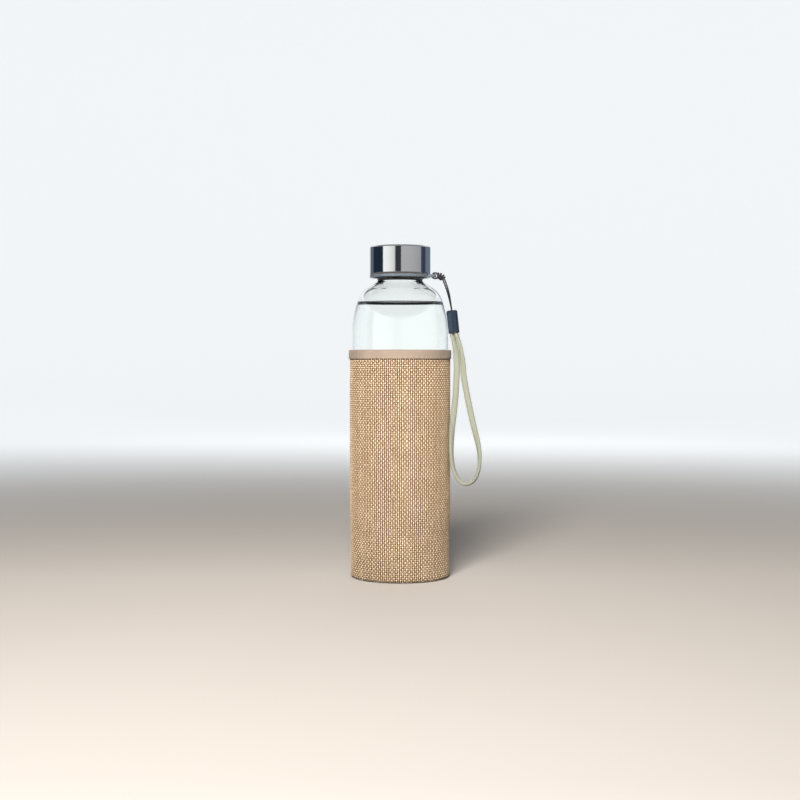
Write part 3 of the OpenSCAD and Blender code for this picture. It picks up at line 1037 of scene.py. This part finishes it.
def make_ground():
    """The cloth behind the yarns: one thin sheet, open along the back seam. Its outer side carries
    painted shade.
    """
    gap = SLIT_W / 2 / CLOTH_R
    angle = np.linspace(SEAM_ANGLE + gap, SEAM_ANGLE + TURN - gap, 161)
    s = np.linspace(0.2, CLOTH_LENGTH, 90)
    deep = -(YARN_T + SWING + GROUND_GAP)
    outer, inner = (on_cloth(*np.broadcast_arrays(angle[None, :], s[:, None], h))
                    for h in (deep, deep - GROUND_T))
    loop = np.concatenate([outer, inner[::-1]])
    faces = list(grid_faces(len(loop), len(angle), True, False))
    rows, columns = len(s), len(angle)
    for j in (0, columns - 1):
        for i in range(rows - 1):
            a, b = i * columns + j, (i + 1) * columns + j
            c, d = (2 * rows - 2 - i) * columns + j, (2 * rows - 1 - i) * columns + j
            faces.append([a, b, c, d] if j else [d, c, b, a])
    piece = mesh_piece("sleeve_cloth", loop.reshape(-1, 3), faces, GROUND)
    weld(piece)
    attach(piece, "sleeve")
    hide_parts("sleeve_body")
    return piece


def panel_yarns(name, flip, material):
    """The bottom panel's yarns, in one direction."""
    count = int(2 * PANEL_R / WEAVE)
    row = np.arange(count)[:, None]
    offset = (row + 0.5) * WEAVE - count * WEAVE / 2
    reach = np.sqrt(np.maximum((PANEL_R - 0.2) ** 2 - offset ** 2, 4))
    steps = 2 * count + 1
    t = np.linspace(-1, 1, steps)[None, :] * reach
    swing = np.cos(math.pi * (t / WEAVE + row + (1 if flip else 0)))
    height = PANEL_T / 2 - 0.02 - (YARN_T * 0.3 - SWING * 0.6 * swing)
    lines = yarn_lines(count, steps, height, swing)
    lines["thick"] = np.full_like(lines["thick"], YARN_T * 0.7)

    def place(across, up):
        x, y, z = t + 0 * across, offset + across, PANEL_T / 2 - up
        return np.stack([y, x, z] if flip else [x, y, z], axis=-1)

    piece = yarn_mesh(name, place, lines, material)
    weld(piece)
    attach(piece, "sleeve")
    return piece


def make_panel():
    """The round bottom panel: yarns both ways, and the cloth behind them."""
    first = panel_yarns("sleeve_base_warp", False, WARP)
    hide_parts("sleeve_base")
    panel_yarns("sleeve_base_weft", True, WEFT)
    low, high, hole, edge = 0.75, PANEL_T, 0.001, PANEL_R - 0.1
    outline = rounded([(hole, low), (edge, low), (edge, high), (hole, high)], 0.1, 2)
    backing = lathe("sleeve_base_cloth", outline, GROUND, 72, ring=True)
    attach(backing, "sleeve")


def tape_push(r, z, angle):
    """The tape's slight unevenness as it goes round."""
    wave = 0.05 * np.sin(9 * angle + 1) + 0.04 * np.sin(17 * angle + 2.2) + 0.03 * np.sin(31 * angle)
    return (r > CLOTH_R - 0.1) * wave * np.clip((SLEEVE_TOP - z) / 2, 0, 1)


def make_tape():
    """Tape folded over the edge: an inner leg, a rounded fold and an outer leg."""
    in_r, fold_h, outer_h = BODY_R + 0.35, 0.75, 5.0
    leg_r, fold_r, fold_z = in_r + 0.5, (TAPE_R - in_r) / 2, SLEEVE_TOP - fold_h
    fold = [(in_r + fold_r + x * fold_r, fold_z + z * fold_h) for x, z in arc(0, 0, 1, 180, 0, 12)]
    outer = [(TAPE_R + 0.06 * math.sin(math.pi * t), fold_z - outer_h * t)
             for t in np.linspace(0.1, 1, 8)]
    inside = [(TAPE_R - 0.1, TAPE_Z + 0.05), (CLOTH_R + 0.1, TAPE_Z), (CLOTH_R, TAPE_Z + 0.15),
              (CLOTH_R, SLEEVE_TOP - 1.0), (CLOTH_R - 0.2, SLEEVE_TOP - 0.65),
              (leg_r + 0.2, SLEEVE_TOP - 0.65), (leg_r, SLEEVE_TOP - 1.0),
              (leg_r, TAPE_Z + 0.1), (leg_r - 0.1, TAPE_Z), (in_r + 0.1, TAPE_Z), (in_r, TAPE_Z + 0.1)]
    outline = fold + outer + inside
    piece = lathe("sleeve_binding_tape", outline, TAPE, 192, tape_push, ring=True)
    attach(piece, "sleeve")
    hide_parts("sleeve_binding")


def stitch_mesh(name, runs, thick, node):
    """Short rounded threads. Each run is where one starts, where it ends, and which way it bows."""
    sides, rings = 6, 7
    angle = circle(sides)
    points, faces, uv = [], [], []
    for k, (a, b, out) in enumerate(runs):
        a, b, out = np.array(a), np.array(b), np.array(out)
        run = (b - a) / np.linalg.norm(b - a)
        side = np.cross(run, out)
        for t in np.linspace(0, 1, rings):
            bow = math.sin(math.pi * t)
            r = thick / 2 * max(0.12, bow ** 0.45)
            middle = a + (b - a) * t + out * (0.16 * bow - 0.06)
            points += [middle + r * (math.cos(x) * side + math.sin(x) * out) for x in angle]
            uv += [(k * 0.37 + x / 6.3, t * 2) for x in angle]
        faces += tube_faces(rings, sides, k * sides * rings)
    piece = mesh_piece(name, points, faces, THREAD, uv=uv, crest=np.full(len(points), 0.7))
    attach(piece, "sleeve")
    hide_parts(node)


def make_stitches():
    """Thread along the tape, round the bottom panel and up the back seam."""
    count, z, out_r = 60, TAPE_Z + 1.1, TAPE_R + 0.02
    turns = [TURN * k / count for k in range(count)]
    span = TURN / count * 0.72
    runs = [(polar(out_r, a, z), polar(out_r, a + span, z), polar(1, a + span / 2, 0)) for a in turns]
    stitch_mesh("binding_thread", runs, 0.34, "binding_stitches")
    start_r, end_r, under_z = PANEL_R - 0.1, PANEL_R + SEAM_W + 0.1, 0.4
    runs = [(polar(start_r, a, under_z), polar(end_r, a + 0.02, under_z), (0, 0, -1)) for a in turns]
    stitch_mesh("base_thread", runs, 0.4, "base_stitches")
    reach, slope = SLIT_W / 2 + 0.55, 0.35
    heights = np.arange(8, TAPE_Z - 3, 4)
    backs = np.interp(heights, CLOTH[:, 1], CLOTH[:, 0]) - 0.28
    runs = [((-reach, y, h - slope), (reach, y, h + slope), (0, 1, 0)) for h, y in zip(heights, backs)]
    stitch_mesh("side_thread", runs, 0.42, "side_stitches")


sleeve_warps()
sleeve_wefts()
cloth = make_ground()
make_panel()
make_tape()
make_stitches()

# ---- studio

# How much the wall glows in front and behind, and the colour of the lining's glow, painted light that
# shows only in the glass
WALL_GLOW = (0.3, 0.80)
GLASS_GLOW = (1.0, 1.02, 1.03)
FLOOR_COLOUR = (0.53, 0.49, 0.45)
WORLD_COLOUR, WORLD_GLOW = (0.90, 0.95, 1.0, 1), 0.09
# The kinds of ray that don't see a piece of the studio
ALL_BUT_GLOSSY = ("camera", "diffuse", "transmission", "shadow")
ALL_BUT_THROUGH = ("camera", "diffuse", "glossy", "shadow")
ALL_BUT_DIFFUSE = ("camera", "glossy", "transmission", "shadow")
# Each light's name, place (azimuth from the camera's, distance, height), the height that it aims
# at, its size, its power in watts and its colour
LIGHTS = (
    ("softbox_front", (-9, 940, 600), 80, (360, 360), 23.5, (1.0, 0.968, 0.93)),
    ("fill_front", (20, 1200, 300), 100, (700, 500), 1.6, (0.95, 0.97, 1.0)),
    ("window_back", (176, 1500, 800), 60, (900, 700), 5, (0.93, 0.97, 1.0)),
    ("rim_back_right", (140, 1400, 600), 110, (500, 900), 1, (0.93, 0.97, 1.0)),
)
# Each card's name, the azimuths from the camera's that it reaches from and to, and its colour or
# its first and last colours. They are the window, the room and the dark flags that a polished lid
# shows
CARDS = (
    ("card_dusk_left", -150, -119, (0.15, 0.19, 0.24)),
    ("card_dark_left", -119, -66, (0.018, 0.032, 0.055)),
    ("card_window_left", -66, -18, (1.35, 1.38, 1.38), (0.85, 0.87, 0.85)),
    ("card_dark_middle", -18, 4, (0.05, 0.052, 0.07)),
    ("card_grey_right", 4, 86, (0.60, 0.61, 0.62), (0.43, 0.45, 0.48)),
    ("card_blue_right", 86, 112, (0.055, 0.07, 0.115)),
    ("card_dusk_right", 112, 176, (0.19, 0.24, 0.30)),
)
# Each disc's name, radius, hole, height, colour, and the rays that don't see it
DISCS = (
    ("dark_ceiling", 1200, 0.1, 640, (0.02, 0.022, 0.03), ALL_BUT_THROUGH),
    ("ceiling_card", 520, 0.1, 640, (0.34, 0.35, 0.36), ALL_BUT_GLOSSY),
    ("table_card", 800, 60, 2, (0.20, 0.175, 0.155), ALL_BUT_GLOSSY),
)


def hide_from(piece, kinds):
    for kind in kinds:
        setattr(piece, "visible_" + kind, False)


def backdrop_look(tree):
    """Pale paint, with painted shade making it a little darker in front. The wall glows, most of all
    behind the bottle.
    """
    parts = add(tree, "SeparateXYZ", {0: object_coords(tree)})
    away = (-math.sin(VIEW_AZIMUTH), math.cos(VIEW_AZIMUTH))
    back = weighted(tree, (parts.outputs[0], away[0]), (parts.outputs[1], away[1]))
    squares = [math_node(tree, "POWER", parts.outputs[k], 2.0) for k in (0, 1)]
    reach = math_node(tree, "SQRT", math_node(tree, "ADD", *squares))
    rise = between(tree, reach, 0.0, 1.0, 0.2, 1.7, "SMOOTHSTEP")
    glow = between(tree, back, *WALL_GLOW, -0.5, 2.0, "SMOOTHSTEP")
    # Painted shade: the floor's paint falls to two thirds in front of the bottle, towards the camera
    front_painted_shade = between(tree, back, 0.66, 1.0, -0.45, 0.0)
    paint = mix(tree, rise, FLOOR_COLOUR, (0.5, 0.5, 0.5))
    dimmed = add(tree, "VectorMath", {0: paint, "Scale": front_painted_shade}, operation="SCALE").outputs[0]
    return {
        "Base Color": dimmed, "Roughness": 0.9, "Specular IOR Level": 0.1,
        "Emission Color": (0.94, 0.975, 1.0, 1),
        "Emission Strength": math_node(tree, "MULTIPLY", glow, rise),
    }


def bounce_look(tree):
    """The floor's paint as other surfaces see it: it sends light back, but has no glow."""
    return {"Base Color": (*FLOOR_COLOUR, 1), "Roughness": 0.9,
                              "Specular IOR Level": 0.1}


def unlit_material(name, colour, last=None):
    """Plain glowing colour. With last, it runs from colour to last by each point's share."""
    material, tree, shader = new_material(name)
    paint = (*colour, 1)
    if last:
        share = attribute(tree, "share")
        paint = mix(tree, share, colour, last)
    light = add(tree, "Emission", {"Color": paint, "Strength": 1.0})
    tree.links.new(light.outputs[0], tree.nodes["Material Output"].inputs["Surface"])
    tree.nodes.remove(shader)
    return material


def bowl(radius, lift, wall, hole):
    """The outline of a floor that curves up into a wall."""
    return ([(hole, 0)] + line((hole, 0), (radius - lift, 0), 10)
            + arc(radius - lift, lift, lift, 270, 360, 16)[1:]
            + line((radius, lift), (radius, wall), 3))


def stage_bowl(name, outline, material, hidden_from):
    piece = lathe(name, outline, material, 96)
    hide_from(piece, hidden_from)


def make_floor():
    """A pale floor and wall a long way off, all round. Just under the floor is the disc that
    lights the bottle from below, and just inside the wall a glowing lining, painted light that only
    rays through the glass see."""
    stage_bowl("studio_floor", bowl(2600, 900, 2600, 0.001), painted(backdrop_look, "studio_pale"),
               ("diffuse", "shadow"))
    stage_bowl("bounce_floor", line((0.001, -2), (1700, -2), 10),
               painted(bounce_look, "bounce_floor"), ALL_BUT_DIFFUSE)
    lining = [(r, z + 3) for r, z in bowl(2580, 890, 2590, 60)]
    stage_bowl("glass_lining", lining, unlit_material("glass_lining", GLASS_GLOW), ALL_BUT_THROUGH)


def area_light(name, place, aim_z, size, power, colour):
    """A soft light that no camera ray or reflection shows."""
    data = bpy.data.lights.new(name, "AREA")
    data.shape, data.size, data.size_y = "RECTANGLE", size[0] * MM, size[1] * MM
    data.energy, data.color = power, colour
    lamp = placed(name, data)
    aim(lamp, round_from_view(*place), aim_z)
    hide_from(lamp, ("camera", "transmission", "glossy"))


def card(name, low, high, colour, last=None):
    """A curved card that only reflections see. Its colour runs from colour to last."""
    steps, distance, heights = 12, 700, (40, 420)
    rows = [[round_from_view(a, distance, h) for a in np.linspace(low, high, steps + 1)]
            for h in heights]
    points = np.array(rows).reshape(-1, 3)
    piece = mesh_piece(name, points, grid_faces(2, steps + 1), unlit_material(name, colour, last),
                       share=np.tile(np.linspace(0, 1, steps + 1) ** 2, 2))
    hide_from(piece, ALL_BUT_GLOSSY)


def unlit_disc(name, radius, hole, z, colour, hidden_from):
    """A flat ring of plain colour round the Z axis, hidden from some kinds of ray."""
    points = np.concatenate([polar(r, circle(48), z) for r in (hole, radius)])
    piece = mesh_piece(name, points, grid_faces(2, 48, False, True), unlit_material(name, colour))
    hide_from(piece, hidden_from)


def make_world():
    """A faint even light from everywhere."""
    world = bpy.data.worlds.new("studio_world")
    world.use_nodes = True
    background = world.node_tree.nodes["Background"]
    background.inputs["Color"].default_value = WORLD_COLOUR
    background.inputs["Strength"].default_value = WORLD_GLOW
    bpy.context.scene.world = world


make_floor()
make_world()
for light_row in LIGHTS:
    area_light(*light_row)
for disc_row in DISCS:
    unlit_disc(*disc_row)
for card_row in CARDS:
    card(*card_row)

bpy.context.scene.view_settings.view_transform = "Standard"
